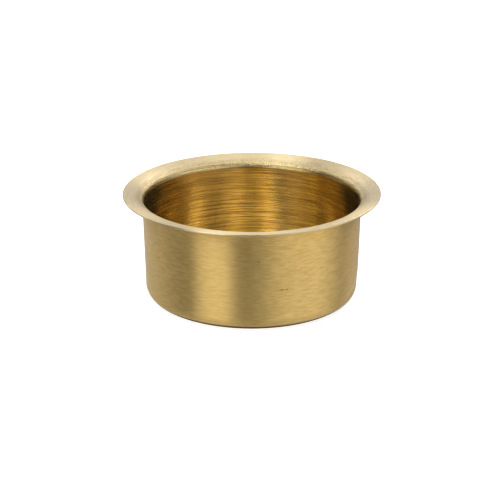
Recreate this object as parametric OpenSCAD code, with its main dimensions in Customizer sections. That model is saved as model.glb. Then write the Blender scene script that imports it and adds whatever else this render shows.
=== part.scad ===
// Shaving bowl: one piece of brass sheet, spun into a flat-bottomed, almost straight-sided
// bowl with a broad out-turned lip. The bowl stands on its base at z = 0, its axis along +Z.
// Everything is one section of even thickness, turned once around the axis.

/* [Rim] */
// Diameter over the edge of the lip
rim_d = 100; // [98:1:120]
// Angle by which the lip rises towards its edge, in degrees
lip_rise = 3.6; // [0:0.2:8]
// Radius of the roll from the wall towards the lip, on its upper side
lip_roll_r = 3; // [2:0.1:4]
// Radius of the wider bend that eases the roll into the lip, on its upper side
lip_ease_r = 9; // [5:0.5:10]
// How much of the turn into the lip is left to the wider bend, in degrees
lip_ease_turn = 35; // [20:1:40]

/* [Bowl] */
// Height of the rim's edge above the base
bowl_h = 42.2; // [25:0.1:70]
// Outer diameter of the wall just below the lip
wall_top_d = 85; // [84:0.2:86]
// Outer diameter of the wall just above the base corner
wall_base_d = 83.2; // [80:0.2:86]
// Outer radius of the corner between the wall and the base
base_corner_r = 5.5; // [3:0.5:8]

/* [Sheet] */
// Thickness of the brass sheet
sheet_t = 0.8; // [0.5:0.1:1.2]

/* [Hidden] */
$fn = 180;

// Number of steps along each bend of the section
bend_steps = 14;

// Lean of the wall away from the vertical
wall_lean = atan((wall_top_d - wall_base_d) / 2 / (bowl_h - base_corner_r));

// Centre of the base corner, inside the bowl, as [radius, height]
corner_c = [wall_base_d / 2 - base_corner_r, base_corner_r];

// The lip's edge is rounded over half the sheet's thickness; its top is at the full height
edge_r = sheet_t / 2;
edge_c = [rim_d / 2 - edge_r, bowl_h - edge_r];

// Angles, seen from the bends' centres, where the wall ends, the wider bend starts and the lip starts
wall_end = 180 - wall_lean;
ease_start = 90 + lip_ease_turn;
lip_start = 90 + lip_rise;

// Centres of the two bends, outside the wall and under the lip: the roll touches the wall, the
// wider bend runs on from it, and their height lets the lip end in the edge
roll_x = wall_top_d / 2 - sheet_t + lip_roll_r;
ease_x = roll_x - (lip_ease_r - lip_roll_r) * cos(ease_start);
lip_mid_r = lip_ease_r - edge_r;
lip_w = edge_c.x - (ease_x + lip_mid_r * cos(lip_start));
ease_z = edge_c.y - lip_w * tan(lip_rise) - lip_mid_r * sin(lip_start);
roll_z = ease_z + (lip_ease_r - lip_roll_r) * sin(ease_start);
ease_c = [ease_x, ease_z];
roll_c = [roll_x, roll_z];

// Points along an arc about c, with radius r, from one angle to another
function arc(c, r, from, to) = [
    for (i = [0 : bend_steps])
        let (angle = from + (to - from) * i / bend_steps)
            c + r * [cos(angle), sin(angle)]
];

// Half of the bowl's section: along its outer side from the axis to the lip's edge, and back
// along its inner side. The straight stretches are the gaps between one arc and the next.
function section() = concat(
    [[0, 0]],
    arc(corner_c, base_corner_r, -90, -wall_lean),
    arc(roll_c, lip_roll_r - sheet_t, wall_end, ease_start),
    arc(ease_c, lip_ease_r - sheet_t, ease_start - 1, lip_start),
    arc(edge_c, edge_r, lip_rise - 90, lip_rise + 90),
    arc(ease_c, lip_ease_r, lip_start, ease_start - 1),
    arc(roll_c, lip_roll_r, ease_start, wall_end),
    arc(corner_c, base_corner_r - sheet_t, -wall_lean, -90),
    [[0, sheet_t]]
);

// The whole bowl: its base, wall and lip are one continuous sheet
module bowl() {
    color("goldenrod")
        rotate_extrude()
            polygon(section());
}

bowl();
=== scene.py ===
import math

import bpy
import numpy as np
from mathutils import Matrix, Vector


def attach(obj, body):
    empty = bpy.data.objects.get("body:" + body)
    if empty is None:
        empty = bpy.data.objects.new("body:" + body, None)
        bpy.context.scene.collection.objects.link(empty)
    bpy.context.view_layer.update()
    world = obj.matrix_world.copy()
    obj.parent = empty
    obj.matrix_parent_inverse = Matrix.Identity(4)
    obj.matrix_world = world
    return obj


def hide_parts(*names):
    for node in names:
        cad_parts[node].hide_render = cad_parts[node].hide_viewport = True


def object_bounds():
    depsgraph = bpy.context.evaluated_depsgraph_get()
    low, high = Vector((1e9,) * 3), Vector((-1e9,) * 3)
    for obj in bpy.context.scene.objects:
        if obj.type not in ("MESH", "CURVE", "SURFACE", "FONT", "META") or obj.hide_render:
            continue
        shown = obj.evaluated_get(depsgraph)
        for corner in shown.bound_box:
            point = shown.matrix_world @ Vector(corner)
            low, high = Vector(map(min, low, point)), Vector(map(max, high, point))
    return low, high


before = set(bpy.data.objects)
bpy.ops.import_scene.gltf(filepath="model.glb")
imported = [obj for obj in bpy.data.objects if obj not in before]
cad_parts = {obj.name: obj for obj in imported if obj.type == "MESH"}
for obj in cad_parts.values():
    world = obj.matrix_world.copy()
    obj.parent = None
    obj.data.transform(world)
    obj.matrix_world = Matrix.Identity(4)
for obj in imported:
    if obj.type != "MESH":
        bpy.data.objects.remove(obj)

# ----------------------------------------------------------------------------------------
# The bowl's section. Lengths are in metres; the rim and the height come from the frame.
# ----------------------------------------------------------------------------------------

MM = 0.001
cad_low, cad_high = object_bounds()

RIM_R = cad_high.x
HEIGHT = cad_high.z
SHEET = 0.8 * MM
# Outer radii of the wall, just below the lip and just above the base's corner
WALL_TOP_R = 42.5 * MM
WALL_BASE_R = 41.6 * MM
# Radii of the bends: the corner's outer side, and the upper side of the roll and of the wider bend that
# eases it
CORNER_R = 5.5 * MM
ROLL_R = 3.0 * MM
EASE_R = 9.0 * MM
# How much of the turn into the lip is left to the wider bend, and how steeply the lip rises
EASE_TURN = math.radians(35)
LIP_RISE = math.radians(3.6)
# The lip is not quite level: its right side stands this much too high, and its left side as much too low
LIP_TILT = 0.2 * MM

# Centres of the bends, as (radius, height), and the angles where they start, seen from there. LIP_W is how
# far out the straight part of the lip reaches from the wider bend.
QUARTER = math.pi / 2
EDGE_R = SHEET / 2
WALL_LEAN = math.atan((WALL_TOP_R - WALL_BASE_R) / (HEIGHT - CORNER_R))
WALL_END = math.pi - WALL_LEAN
EASE_START = QUARTER + EASE_TURN
LIP_START = QUARTER + LIP_RISE
CORNER_C = np.array([WALL_BASE_R - CORNER_R, CORNER_R])
EDGE_C = np.array([RIM_R - EDGE_R, HEIGHT - EDGE_R])
ROLL_X = WALL_TOP_R - SHEET + ROLL_R
EASE_X = ROLL_X - (EASE_R - ROLL_R) * math.cos(EASE_START)
LIP_W = EDGE_C[0] - EASE_X - (EASE_R - EDGE_R) * math.cos(LIP_START)
EASE_Z = EDGE_C[1] - LIP_W * math.tan(LIP_RISE) - (EASE_R - EDGE_R) * math.sin(LIP_START)
EASE_C = np.array([EASE_X, EASE_Z])
ROLL_C = np.array([ROLL_X, EASE_Z + (EASE_R - ROLL_R) * math.sin(EASE_START)])

# Steps round the bowl, and points along each stretch of its section. The inner wall has most, for its
# turning marks.
SEGMENTS = 336
POINTS = {
    "floor": 24, "floor_bend": 14, "inner_wall": 120, "inner_roll": 16, "inner_ease": 16, "lip": 4,
    "edge": 9, "lip_under": 3, "under_ease": 8, "under_roll": 10, "outer_wall": 24, "base_bend": 16,
    "base": 14,
}
# Radius of the innermost ring of the floor and of the base
MIDDLE_R = 0.6 * MM


def arc(centre, radius, start, end, stretch):
    """Points of an arc in the section, angles in radians."""
    angles = np.linspace(start, end, POINTS[stretch])
    return centre + radius * np.stack([np.cos(angles), np.sin(angles)], axis=1)


def between(a, b, stretch):
    """Points strictly between a and b, evenly spaced."""
    share = np.linspace(0, 1, POINTS[stretch] + 2)[1:-1, None]
    return a + (b - a) * share


def upper_side():
    """The stretches from the middle of the floor to the lip's edge."""
    middle = np.array([[MIDDLE_R, SHEET]])
    bend = arc(CORNER_C, CORNER_R - SHEET, -QUARTER, -WALL_LEAN, "floor_bend")
    roll = arc(ROLL_C, ROLL_R, WALL_END, EASE_START, "inner_roll")
    ease = arc(EASE_C, EASE_R, EASE_START, LIP_START, "inner_ease")[1:]
    edge = arc(EDGE_C, EDGE_R, LIP_START, LIP_RISE - QUARTER, "edge")
    return {
        "floor": np.vstack([middle, between(middle[0], bend[0], "floor")]),
        "floor_bend": bend,
        "inner_wall": between(bend[-1], roll[0], "inner_wall"),
        "inner_roll": roll,
        "inner_ease": ease,
        "lip": between(ease[-1], edge[0], "lip"),
        "edge": edge,
    }


def lower_side(edge_end):
    """The stretches from the end of the lip's edge, down the outside, to the middle of the base."""
    middle = np.array([[MIDDLE_R, 0.0]])
    ease = arc(EASE_C, EASE_R - SHEET, LIP_START, EASE_START, "under_ease")[:-1]
    roll = arc(ROLL_C, ROLL_R - SHEET, EASE_START, WALL_END, "under_roll")
    bend = arc(CORNER_C, CORNER_R, -WALL_LEAN, -QUARTER, "base_bend")
    return {
        "lip_under": between(edge_end, ease[0], "lip_under"),
        "under_ease": ease,
        "under_roll": roll,
        "outer_wall": between(roll[-1], bend[0], "outer_wall"),
        "base_bend": bend,
        "base": np.vstack([between(bend[-1], middle[0], "base"), middle]),
    }


def section():
    """The section's points from the middle of the floor, over the lip, to the middle of the base, and the
    index where each stretch starts."""
    upper = upper_side()
    stretches = {**upper, **lower_side(upper["edge"][-1])}
    starts = {}
    count = 0
    for name, stretch in stretches.items():
        starts[name] = count
        count += len(stretch)
    return np.vstack(list(stretches.values())), starts


# ----------------------------------------------------------------------------------------
# The small faults of a real bowl
# ----------------------------------------------------------------------------------------

# Shallow turning marks: their spacings on the inner wall and on the floor, the slope of their sides, and
# the mean and the swing of their depth round the bowl
WALL_SPACINGS = (1.15 * MM, 1.6 * MM, 2.4 * MM)
FLOOR_SPACINGS = (1.9 * MM, 3.1 * MM)
TURNING_SLOPE = 0.012
TURNING_MEAN = 0.65
TURNING_SWING = 0.35

# The wall is out of round by slow waves, which go round the bowl this often. A wave that went round twice
# would be this high, and the others are lower the more often they go round. The inner side shows only a
# share of them.
BENT_ORDERS = range(3, 15)
BENT_HEIGHT = 0.035 * MM
BENT_INSIDE = 0.4

# Dents in the outer wall: how far round from +X in degrees, height, lean from the level in degrees, half
# length, half width and depth. The first is a crease above the corner of the base, and the second a flat
# place further round.
DENTS = (
    (-25, 6.9 * MM, 20, 6.5 * MM, 1.1 * MM, 0.35 * MM),
    (-5, 6.0 * MM, 0, 9.0 * MM, 4.0 * MM, 0.30 * MM),
)


def smooth(x, low, high):
    """0 below low, 1 above high, and a smooth step between."""
    t = np.clip((x - low) / (high - low), 0, 1)
    return t * t * (3 - 2 * t)


def span(x, start, full, fall, end):
    """1 from full to fall, 0 outside start and end, and smooth steps between."""
    return smooth(x, start, full) * (1 - smooth(x, fall, end))


def turning_marks(along, theta, spacings, seed):
    """Sine waves along the section, one for each spacing, as a spinning tool leaves them. Each winds once
    round the bowl, and is deeper on two opposite sides."""
    draw = np.random.default_rng(seed)
    total = 0
    for spacing in spacings:
        start, fade_start = draw.uniform(0, 2 * math.pi, 2)
        fade = TURNING_MEAN + TURNING_SWING * np.cos(2 * theta + fade_start)
        height = TURNING_SLOPE * spacing / (2 * math.pi)
        total = total + height * fade * np.sin(2 * math.pi * along / spacing + theta + start)
    return total


def out_of_round(theta, seed):
    """Slow waves round the bowl."""
    draw = np.random.default_rng(seed)
    total = 0
    for order in BENT_ORDERS:
        total = total + BENT_HEIGHT * 2 / order * np.cos(order * theta + draw.uniform(0, 2 * math.pi))
    return total


def relief(along, theta, where):
    """How far the surface stands out of the smooth section, in metres, by ring and by turn."""
    wall, roll, bend = where["inner_wall"], where["inner_roll"], where["floor_bend"]
    outer_wall, corner = where["outer_wall"], where["base_bend"]
    inner = span(along, wall - 1 * MM, wall + 1 * MM, roll - 1.5 * MM, roll + 1 * MM)
    floor = span(along, 2 * MM, 5 * MM, bend - 2 * MM, bend)
    outer = span(along, outer_wall - 1 * MM, outer_wall + 4 * MM, corner - 3 * MM, corner + 3 * MM)
    grooves = turning_marks(along, theta, WALL_SPACINGS, seed=5)
    rings = turning_marks(along, theta, FLOOR_SPACINGS, seed=8)
    bent = out_of_round(theta, seed=3)
    return inner * (grooves + BENT_INSIDE * bent) + floor * rings + outer * bent


def dents(height, theta):
    """How far the dents sink below the outer surface."""
    total = 0
    for turn, level, lean, long, wide, depth in DENTS:
        off = (theta - math.radians(turn) + math.pi) % (2 * math.pi) - math.pi
        across = off * WALL_BASE_R
        up = height - level
        cos_lean = math.cos(math.radians(lean))
        sin_lean = math.sin(math.radians(lean))
        u = across * cos_lean + up * sin_lean
        v = up * cos_lean - across * sin_lean
        total = total + depth * np.exp(-(u / long) ** 2 - (v / wide) ** 2)
    return total


# ----------------------------------------------------------------------------------------
# The bowl's mesh
# ----------------------------------------------------------------------------------------

def outward(points):
    """Unit normals of the section, pointing out of the metal."""
    way = np.gradient(points, axis=0)
    way /= np.linalg.norm(way, axis=1)[:, None]
    return np.stack([-way[:, 1], way[:, 0]], axis=1)


def bowl_corners(points, along, where):
    """The mesh's corners, ring by ring, and then the middle of the floor and the middle of the base."""
    theta = (np.arange(SEGMENTS) * 2 * math.pi / SEGMENTS)[None, :]
    normal = outward(points)
    outside = along >= where["outer_wall"]
    raised = relief(along, theta, where) - outside * dents(points[:, 1:], theta)
    radius = points[:, :1] + normal[:, :1] * raised
    tilt = LIP_TILT * smooth(points[:, :1], WALL_TOP_R, RIM_R)
    height = points[:, 1:] + normal[:, 1:] * raised + tilt * np.cos(theta)
    rings = np.stack([radius * np.cos(theta), radius * np.sin(theta), height], axis=-1)
    return np.vstack([rings.reshape(-1, 3), [[0, 0, SHEET], [0, 0, 0]]])


def bowl_faces(rings):
    """Quads between neighbouring rings, and triangles that close the floor and the base at their
    middles."""
    faces = []
    for i in range(rings - 1):
        a = i * SEGMENTS
        b = a + SEGMENTS
        for j in range(SEGMENTS):
            k = (j + 1) % SEGMENTS
            faces.append((a + j, a + k, b + k, b + j))
    last = (rings - 1) * SEGMENTS
    floor_middle = rings * SEGMENTS
    base_middle = floor_middle + 1
    for j in range(SEGMENTS):
        k = (j + 1) % SEGMENTS
        faces.append((floor_middle, k, j))
        faces.append((base_middle, last + j, last + k))
    return faces


def make_bowl():
    """The bowl as one closed sheet turned round the axis, and how far along the section each stretch
    starts. The mesh has the attribute 'along', the way along the section in metres."""
    points, starts = section()
    steps = np.linalg.norm(np.diff(points, axis=0), axis=1)
    along = np.concatenate([[0], np.cumsum(steps)])
    where = {name: float(along[i]) for name, i in starts.items()}

    mesh = bpy.data.meshes.new("brass_bowl")
    corners = bowl_corners(points, along[:, None], where)
    mesh.from_pydata(corners.tolist(), [], bowl_faces(len(points)))
    way = mesh.attributes.new("along", "FLOAT", "POINT")
    values = np.concatenate([np.repeat(along, SEGMENTS), [0, along[-1]]])
    way.data.foreach_set("value", values.astype(np.float32))
    mesh.update()
    mesh.shade_smooth()
    made = bpy.data.objects.new("brass_bowl", mesh)
    bpy.context.scene.collection.objects.link(made)
    return made, where


# ----------------------------------------------------------------------------------------
# Node trees
# ----------------------------------------------------------------------------------------

class Graph:
    """Short ways to add nodes to a tree. A number, a tuple or another node's socket can be an input."""

    def __init__(self, tree):
        self.tree = tree

    def node(self, kind, inputs=(), **settings):
        """A node with these settings, and with these inputs by name."""
        made = self.tree.nodes.new(kind)
        for name, value in settings.items():
            setattr(made, name, value)
        for key, value in dict(inputs).items():
            self.put(value, made.inputs[key])
        return made

    def put(self, value, socket):
        """Links a socket, or sets its own value."""
        if isinstance(value, bpy.types.NodeSocket):
            self.tree.links.new(value, socket)
        else:
            socket.default_value = value

    def math(self, operation, a, b=0.0, c=0.0):
        """A Math node's result."""
        made = self.node("ShaderNodeMath", operation=operation)
        for socket, value in zip(made.inputs, (a, b, c)):
            self.put(value, socket)
        return made.outputs[0]

    def plus(self, a, b):
        """a + b"""
        return self.math("ADD", a, b)

    def minus(self, a, b):
        """a - b"""
        return self.math("SUBTRACT", a, b)

    def times(self, a, b):
        """a * b"""
        return self.math("MULTIPLY", a, b)

    def ramp(self, value, low, high, to_low=0.0, to_high=1.0):
        """A smooth step from to_low at low to to_high at high."""
        made = self.node("ShaderNodeMapRange", {
            "Value": value,
            "From Min": low,
            "From Max": high,
            "To Min": to_low,
            "To Max": to_high,
        }, interpolation_type="SMOOTHSTEP")
        return made.outputs["Result"]

    def span(self, value, start, full, fall, end):
        """1 from full to fall, 0 outside start and end, and smooth steps between."""
        return self.times(self.ramp(value, start, full), self.ramp(value, fall, end, 1.0, 0.0))

    def mixed(self, kind, share, a, b):
        """A Mix node's result for this kind of data."""
        made = self.node("ShaderNodeMix", data_type=kind)
        self.put(share, made.inputs["Factor"])
        self.put(a, made.inputs["A"])
        self.put(b, made.inputs["B"])
        return made.outputs["Result"]

    def blend(self, share, a, b):
        """A number between a and b."""
        return self.mixed("FLOAT", share, a, b)

    def mix(self, share, a, b):
        """A colour between a and b."""
        return self.mixed("RGBA", share, a, b)


def rgb(r, g, b):
    """An opaque colour."""
    return (r, g, b, 1.0)


# ----------------------------------------------------------------------------------------
# Brass
# ----------------------------------------------------------------------------------------

# Noise drawn out along the turning direction: cells to the radian round the bowl, cells to the metre
# across the brushing, and the detail and roughness of the noise
STREAKS = {
    "outer lines": (11.0, 2100.0, 2.0, 0.6),
    "inner lines": (1.3, 2400.0, 2.0, 0.75),
    "inner patches": (4.0, 150.0, 1.0, 0.6),
    "scratches": (3.0, 1500.0, 0.0, 0.6),
    "broad waves": (10.0, 900.0, 2.0, 0.6),
    "grain": (80.0, 1500.0, 2.0, 0.7),
}

# Colours between the brushed lines and on them: lit and shaded copies of one brass, which paint light. The
# lip's pair is painted paler for its bright light; inside, the dark end is partly dirt in the turning
# grooves and partly painted shade.
OUTER_COLORS = (rgb(0.83, 0.56, 0.18), rgb(0.92, 0.645, 0.225))
INNER_COLORS = (rgb(0.50, 0.36, 0.13), rgb(1.0, 0.83, 0.44))
LIP_PAINTED_PALE_COLORS = (rgb(0.84, 0.67, 0.38), rgb(0.92, 0.75, 0.46))

PIT_COLOR = rgb(0.34, 0.23, 0.08)
MARK_COLOR = rgb(0.20, 0.11, 0.04)
# Painted shade: the dark reflection of the shaded floor under the base's edge
BASE_EDGE_SHADE_COLOR = rgb(0.055, 0.032, 0.014)
# Painted highlight: the pale colour under the crease, for the light its lower side catches
DENT_HIGHLIGHT_COLOR = rgb(1.0, 0.80, 0.40)

# Smooth steps: where each starts and ends, and its values there if they aren't 0 and 1. LINE_STEP and
# ROUGH_STEP are over the brushed lines, and the next three over noise. MARK_STEP is over the square of the
# distance from a dark mark's middle, in the mark's half sizes.
LINE_STEP = (0.34, 0.66)
ROUGH_STEP = (0.25, 0.75)
PATCH_STEP = (0.35, 0.65, 0.5, 1.5)
SCRATCH_STEP = (0.62, 0.72, 0.0, 0.12)
PIT_STEP = (0.42, 0.62, 0.40, 0.0)
MARK_STEP = (0.3, 1.6, 0.75, 0.0)

# Roughness between the brushed lines and on them, and of the painted shade line at the base's edge
OUTER_ROUGHNESS = (0.43, 0.33)
INNER_ROUGHNESS = (0.20, 0.12)
BASE_EDGE_SHADE_ROUGHNESS = 0.6

# Heights of the bump: the broad waves, which only the outside has, the lines outside and inside, and the
# pits
BROAD_HEIGHT = 0.055 * MM
OUTER_LINE_HEIGHT = 0.02 * MM
INNER_LINE_HEIGHT = 0.06 * MM
PIT_HEIGHT = 0.20 * MM

# A thin dull film over the clean outside
FILM_WEIGHT = 0.35
FILM_ROUGHNESS = 0.35
FILM_IOR = 1.45

# Dark marks on the outer wall: how far round from +X in degrees, height, half length and half height
DARK_MARKS = (
    (-74.3, 17.0 * MM, 0.9 * MM, 0.22 * MM),
    (-71.8, 16.8 * MM, 0.5 * MM, 0.20 * MM),
    (-147.0, 23.0 * MM, 0.35 * MM, 0.3 * MM),
    (-86.5, 28.8 * MM, 0.35 * MM, 0.2 * MM),
)

# The painted highlight under the crease, where its lower side catches the light: its middle, round from +X
# in degrees, the height and slope of its upper edge there, its half length, where it shows along that edge
# and below it, and how strongly
DENT_HIGHLIGHT_TURN = -24.5
DENT_HIGHLIGHT_LEVEL = 7.4 * MM
DENT_HIGHLIGHT_SLOPE = 0.33
DENT_HIGHLIGHT_HALF = 6.5 * MM
DENT_HIGHLIGHT_REACH = (-DENT_HIGHLIGHT_HALF, 0.0, 0.9 * DENT_HIGHLIGHT_HALF, 1.1 * DENT_HIGHLIGHT_HALF)
DENT_HIGHLIGHT_DEPTH = (0.0, 0.25 * MM, 1.0 * MM, 2.4 * MM)
DENT_HIGHLIGHT_SHARE = 0.6

# The axis itself has no direction round it, so the patterns take the radius as at least this
LEAST_R = 1 * MM


class BrassGraph(Graph):
    """A graph with the brass's coordinates: the way along the section, the turn round the bowl and the
    height."""

    def __init__(self, tree):
        super().__init__(tree)
        self.along = self.node("ShaderNodeAttribute", attribute_name="along").outputs["Fac"]
        place = self.node("ShaderNodeTexCoord").outputs["Object"]
        x, y, self.height = self.node("ShaderNodeSeparateXYZ", {"Vector": place}).outputs
        radius = self.math("SQRT", self.plus(self.times(x, x), self.times(y, y)))
        radius = self.math("MAXIMUM", radius, LEAST_R)
        self.cos_turn = self.math("DIVIDE", x, radius)
        self.sin_turn = self.math("DIVIDE", y, radius)
        self.turn = self.math("ARCTAN2", y, x)

    def streaks(self, name):
        """The noise of this name in STREAKS."""
        around, across, detail, roughness = STREAKS[name]
        place = self.node("ShaderNodeCombineXYZ", {
            "X": self.times(self.cos_turn, around),
            "Y": self.times(self.sin_turn, around),
            "Z": self.times(self.along, across),
        })
        noise = self.node("ShaderNodeTexNoise", {
            "Vector": place.outputs[0],
            "Scale": 1.0,
            "Detail": detail,
            "Roughness": roughness,
        })
        return noise.outputs["Fac"]

    def across_from(self, degrees, radius):
        """The distance round the bowl from a turn given in degrees from +X."""
        return self.times(self.minus(self.turn, math.radians(degrees)), radius)


def inside_mask(g, where):
    """1 on the floor and the inner wall, and 0 past the roll."""
    roll = where["inner_roll"]
    return g.ramp(g.along, roll + 1.0 * MM, roll + 4.0 * MM, 1.0, 0.0)


def lip_mask(g, where):
    """1 on the lip's upper side, out to just over its edge."""
    rise = g.ramp(g.along, where["inner_roll"] + 0.5 * MM, where["inner_ease"] + 1.0 * MM)
    fall = g.ramp(g.along, where["edge"], where["lip_under"] + 1.5 * MM, 1.0, 0.0)
    return g.times(rise, fall)


def roll_mask(g, where):
    """1 on the roll between the inner wall and the lip."""
    roll = where["inner_roll"]
    ease = where["inner_ease"]
    return g.span(g.along, roll - 0.5 * MM, roll + 1.5 * MM, ease - 0.5 * MM, ease + 2.5 * MM)


def wall_mask(g, where):
    """1 on the outer wall and the base."""
    wall = where["outer_wall"]
    return g.ramp(g.along, wall, wall + 1 * MM)


def base_edge_shade_mask(g, where):
    """1 on a narrow line round the bend at the base, where shade is painted: the dark reflection of the
    shaded floor under the edge.
    """
    bend = where["base_bend"]
    return g.span(g.along, bend + 2.8 * MM, bend + 4.0 * MM, bend + 6.2 * MM, bend + 8.0 * MM)


def brushed_lines(g, inside):
    """The brushing: even lines outside, and inside longer ones, patchy and with a few strong
    scratches."""
    long_lines = g.minus(g.streaks("inner lines"), 0.5)
    patches = g.ramp(g.streaks("inner patches"), *PATCH_STEP)
    scratches = g.ramp(g.streaks("scratches"), *SCRATCH_STEP)
    inner_lines = g.plus(g.times(long_lines, patches), g.plus(scratches, 0.5))
    return g.blend(inside, g.streaks("outer lines"), inner_lines)


def brass_with_painted_light(g, lines, inside, on_lip):
    """The brass's colour, in lit and shaded copies that paint light: paler on the brightly lit lip, and
    deeper inside, where the darker colour between the lines is partly dirt in the turning grooves and
    partly painted shade; paler on the lines than between them."""
    drawn = g.ramp(lines, *LINE_STEP)
    outer = g.mix(drawn, *OUTER_COLORS)
    # Inside, the dark between the lines is partly dirt in the grooves and partly painted shade
    inner = g.mix(drawn, *INNER_COLORS)
    # Painted light: the lip's colour is paler for the bright light on its top
    lip = g.mix(drawn, *LIP_PAINTED_PALE_COLORS)
    return g.mix(on_lip, g.mix(inside, outer, inner), lip)


def pits(g, grain, on_roll):
    """How strongly the pits on the roll show."""
    return g.times(g.ramp(grain, *PIT_STEP), on_roll)


def dark_marks(g):
    """How strongly the small dark marks show."""
    shown = 0.0
    for turn, level, long, high in DARK_MARKS:
        across = g.across_from(turn, WALL_TOP_R / long)
        up = g.math("DIVIDE", g.minus(g.height, level), high)
        reach = g.plus(g.times(across, across), g.times(up, up))
        shown = g.math("MAXIMUM", shown, g.ramp(reach, *MARK_STEP))
    return shown


def dent_highlight(g):
    """How strongly the painted highlight under the crease shows: most along its upper edge, less below it,
    and fading out to its left end."""
    across = g.across_from(DENT_HIGHLIGHT_TURN, WALL_BASE_R)
    upper_edge = g.plus(g.times(across, DENT_HIGHLIGHT_SLOPE), DENT_HIGHLIGHT_LEVEL)
    below = g.minus(upper_edge, g.height)
    reach = g.span(across, *DENT_HIGHLIGHT_REACH)
    depth = g.span(below, *DENT_HIGHLIGHT_DEPTH)
    return g.times(g.times(depth, DENT_HIGHLIGHT_SHARE), reach)


def roughness(g, lines, inside, base_edge_shaded):
    """Smoother inside, smoother on the lines than between them, and dull on the painted shade line at the
    base's edge.
    """
    outer = g.ramp(lines, *ROUGH_STEP, *OUTER_ROUGHNESS)
    inner = g.ramp(lines, *ROUGH_STEP, *INNER_ROUGHNESS)
    return g.math("MAXIMUM", g.blend(inside, outer, inner), g.times(base_edge_shaded, BASE_EDGE_SHADE_ROUGHNESS))


def bump_height(g, lines, grain, inside, on_roll):
    """The height of the fine relief, in metres."""
    broad = g.times(g.streaks("broad waves"), g.ramp(inside, 0.0, 1.0, BROAD_HEIGHT, 0.0))
    fine = g.times(lines, g.ramp(inside, 0.0, 1.0, OUTER_LINE_HEIGHT, INNER_LINE_HEIGHT))
    pitted = g.times(g.times(grain, on_roll), PIT_HEIGHT)
    return g.plus(g.plus(broad, fine), pitted)


def make_brass(where):
    """Brass brushed round the axis, for a section whose stretches start at these ways along it."""
    material = bpy.data.materials.new("brushed_brass")
    material.use_nodes = True
    tree = material.node_tree
    tree.nodes.clear()
    g = BrassGraph(tree)

    inside = inside_mask(g, where)
    on_roll = roll_mask(g, where)
    on_wall = wall_mask(g, where)
    base_edge_shaded = base_edge_shade_mask(g, where)
    lines = brushed_lines(g, inside)
    grain = g.streaks("grain")

    color = brass_with_painted_light(g, lines, inside, lip_mask(g, where))
    color = g.mix(pits(g, grain, on_roll), color, PIT_COLOR)
    color = g.mix(g.times(dark_marks(g), on_wall), color, MARK_COLOR)
    # Painted shade round the base's edge: a near-black, dull line that is no metal, for the reflection of
    # the shaded floor under it
    color = g.mix(base_edge_shaded, color, BASE_EDGE_SHADE_COLOR)
    # Painted highlight under the crease in the outer wall
    color = g.mix(g.times(dent_highlight(g), on_wall), color, DENT_HIGHLIGHT_COLOR)
    height = bump_height(g, lines, grain, inside, on_roll)
    bump = g.node("ShaderNodeBump", {"Strength": 1.0, "Distance": 1.0, "Height": height})

    shader = g.node("ShaderNodeBsdfPrincipled", {
        "Base Color": color,
        "Metallic": g.minus(1.0, base_edge_shaded),
        "Roughness": roughness(g, lines, inside, base_edge_shaded),
        "Anisotropic": 1.0,
        "Anisotropic Rotation": 0.25,
        "Coat Weight": g.blend(g.math("MAXIMUM", inside, base_edge_shaded), FILM_WEIGHT, 0.0),
        "Coat Roughness": FILM_ROUGHNESS,
        "Coat IOR": FILM_IOR,
        "Normal": bump.outputs[0],
        "Tangent": g.node("ShaderNodeTangent", direction_type="RADIAL", axis="Z").outputs[0],
    })
    g.node("ShaderNodeOutputMaterial", {"Surface": shader.outputs[0]})
    return material


# ----------------------------------------------------------------------------------------
# Studio
# ----------------------------------------------------------------------------------------

# Where three bright bands show on the bowl, in degrees to the right of its middle: the window's on the
# outer wall, and the two lamps' on the back of the inner wall
WINDOW_BAND = (-30, -11)
LEFT_BAND = (-18, -6)
RIGHT_BAND = (7, 14)

# The two bands of height that those lights stand in, in degrees above the bowl: foot and head
LOW = (-20, 20)
HIGH = (20, 60)


def outer_mirror(band):
    """The middle and half width of the light that shows as this band on the outer wall: a wall turned by
    an angle mirrors what stands at twice that angle."""
    return band[0] + band[1], band[1] - band[0]


def inner_mirror(band):
    """The same for a band on the back of the inner wall, which shows what stands behind the bowl after
    two bounces, turned back by four times the angle."""
    return 180 - 2 * (band[0] + band[1]), 2 * (band[1] - band[0])


# Plain white lights round the bowl, in degrees and units of white paper. 0 is the camera's side and 90
# the right. The white table stands for the floor, which the bowl doesn't mirror, and the lip mirrors the
# backdrop.
#    middle, half width, soft sides, foot, head, soft foot and head, strength
LIGHTS = {
    "white table": (0, 180, 10, -90, -5, 15, 0.5),
    "window": (*outer_mirror(WINDOW_BAND), 20, *LOW, 10, 0.7),
    "window's upper half": (*outer_mirror(WINDOW_BAND), 20, *HIGH, 10, 2.3),
    "main light on the right": (55, 35, 50, -20, 40, 20, 1.0),
    "left side": (-130, 40, 40, -20, 10, 20, 0.15),
    "right side": (115, 45, 30, 15, 50, 20, 0.3),
    "backdrop": (180, 45, 30, 10, 40, 10, 0.8),
    "high backdrop": (180, 25, 30, 40, 70, 15, 0.9),
    "lamp behind on the right": (*inner_mirror(RIGHT_BAND), 20, *HIGH, 10, 2.0),
    "lamp behind on the left": (*inner_mirror(LEFT_BAND), 20, *HIGH, 10, 1.2),
    "overhead": (0, 180, 10, 60, 100, 10, 1.4),
}

# The plain white that the camera sees behind the bowl
WHITE_BEHIND = 1.1

# The floor: half its side, how far it lies below the bowl, and its colour, roughness and glow
FLOOR_HALF = 3.0
FLOOR_DROP = 0.05 * MM
FLOOR_COLOR = rgb(0.8, 0.8, 0.8)
FLOOR_ROUGHNESS = 0.9
FLOOR_GLOW = 0.8


def degree_step(g, value, middle, soft, low, high):
    """A smooth step from low to high for an angle in radians, centred on middle degrees and soft degrees
    wide."""
    return g.ramp(value, math.radians(middle - soft / 2), math.radians(middle + soft / 2), low, high)


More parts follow.
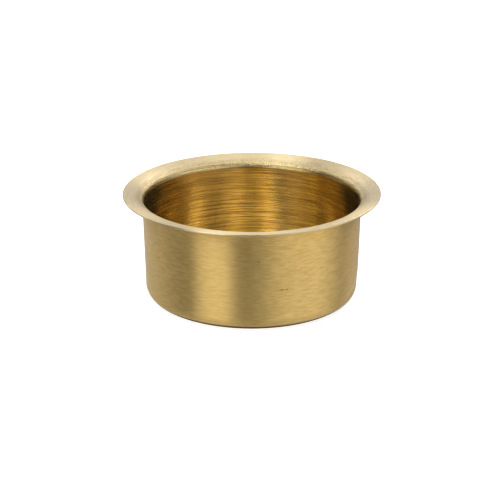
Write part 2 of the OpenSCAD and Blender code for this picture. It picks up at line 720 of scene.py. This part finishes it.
def light_glow(g, azimuth, elevation, light):
    """How brightly one of LIGHTS shines from a direction."""
    middle, half, soft, foot, head, edge, strength = light
    off = g.math("WRAP", g.minus(azimuth, math.radians(middle)), math.pi, -math.pi)
    wide = degree_step(g, g.math("ABSOLUTE", off), half, soft, strength, 0.0)
    above_foot = degree_step(g, elevation, foot, edge, 0.0, 1.0)
    below_head = degree_step(g, elevation, head, edge, 1.0, 0.0)
    return g.times(wide, g.times(above_foot, below_head))


def make_world():
    """The lights, and plain white where the camera looks past the bowl."""
    world = bpy.data.worlds.new("studio")
    world.use_nodes = True
    tree = world.node_tree
    tree.nodes.clear()
    g = Graph(tree)
    way = g.node("ShaderNodeTexCoord").outputs["Generated"]
    x, y, z = g.node("ShaderNodeSeparateXYZ", {"Vector": way}).outputs
    azimuth = g.math("ARCTAN2", x, g.times(y, -1.0))
    elevation = g.math("ARCSINE", z)
    total = 0.0
    for light in LIGHTS.values():
        total = g.plus(total, light_glow(g, azimuth, elevation, light))
    seen = g.node("ShaderNodeLightPath").outputs["Is Camera Ray"]
    shown = g.node("ShaderNodeBackground", {
        "Color": rgb(1, 1, 1),
        "Strength": g.ramp(seen, 0.0, 1.0, total, WHITE_BEHIND),
    })
    g.node("ShaderNodeOutputWorld", {"Surface": shown.outputs[0]})
    bpy.context.scene.world = world


def make_floor():
    """A plain pale floor that the bowl doesn't mirror."""
    mesh = bpy.data.meshes.new("studio_floor")
    signs = [(-1, -1), (1, -1), (1, 1), (-1, 1)]
    corners = [(a * FLOOR_HALF, b * FLOOR_HALF, -FLOOR_DROP) for a, b in signs]
    mesh.from_pydata(corners, [], [(0, 1, 2, 3)])
    floor = bpy.data.objects.new("studio_floor", mesh)
    bpy.context.scene.collection.objects.link(floor)
    material = bpy.data.materials.new("pale_floor")
    material.use_nodes = True
    shader = material.node_tree.nodes["Principled BSDF"]
    shader.inputs["Base Color"].default_value = FLOOR_COLOR
    shader.inputs["Roughness"].default_value = FLOOR_ROUGHNESS
    shader.inputs["Specular IOR Level"].default_value = 0.0
    shader.inputs["Emission Color"].default_value = rgb(1, 1, 1)
    shader.inputs["Emission Strength"].default_value = FLOOR_GLOW
    mesh.materials.append(material)
    floor.visible_glossy = False


# ----------------------------------------------------------------------------------------
# Camera
# ----------------------------------------------------------------------------------------

# The camera stands this far from a point on the axis at CENTRE_Z, in front of it and above it, and looks
# at AIM, a little to the left, so that the bowl stands right of the picture's middle
CAMERA_DISTANCE = 0.70
CAMERA_ELEVATION = math.radians(20.3)
CENTRE_Z = 20 * MM
AIM = Vector((-2.6 * MM, 0.0, 19.8 * MM))
CAMERA_LENS = 131.2
SENSOR = 36.0
# The nearest and farthest that the camera sees
CLIP_NEAR = 0.01
CLIP_FAR = 20.0


def make_camera():
    """The scene's camera."""
    data = bpy.data.cameras.new("camera")
    data.lens = CAMERA_LENS
    data.sensor_width = SENSOR
    data.clip_start = CLIP_NEAR
    data.clip_end = CLIP_FAR
    camera = bpy.data.objects.new("camera", data)
    bpy.context.scene.collection.objects.link(camera)
    back = CAMERA_DISTANCE * math.cos(CAMERA_ELEVATION)
    rise = CAMERA_DISTANCE * math.sin(CAMERA_ELEVATION)
    camera.location = Vector((0, -back, CENTRE_Z + rise))
    camera.rotation_mode = "QUATERNION"
    camera.rotation_quaternion = (AIM - camera.location).to_track_quat("-Z", "Y")
    bpy.context.scene.camera = camera


bowl, starts_at = make_bowl()
bowl.data.materials.append(make_brass(starts_at))
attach(bowl, "root")
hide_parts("bowl")

make_world()
make_floor()
make_camera()
bpy.context.scene.view_settings.view_transform = "Standard"
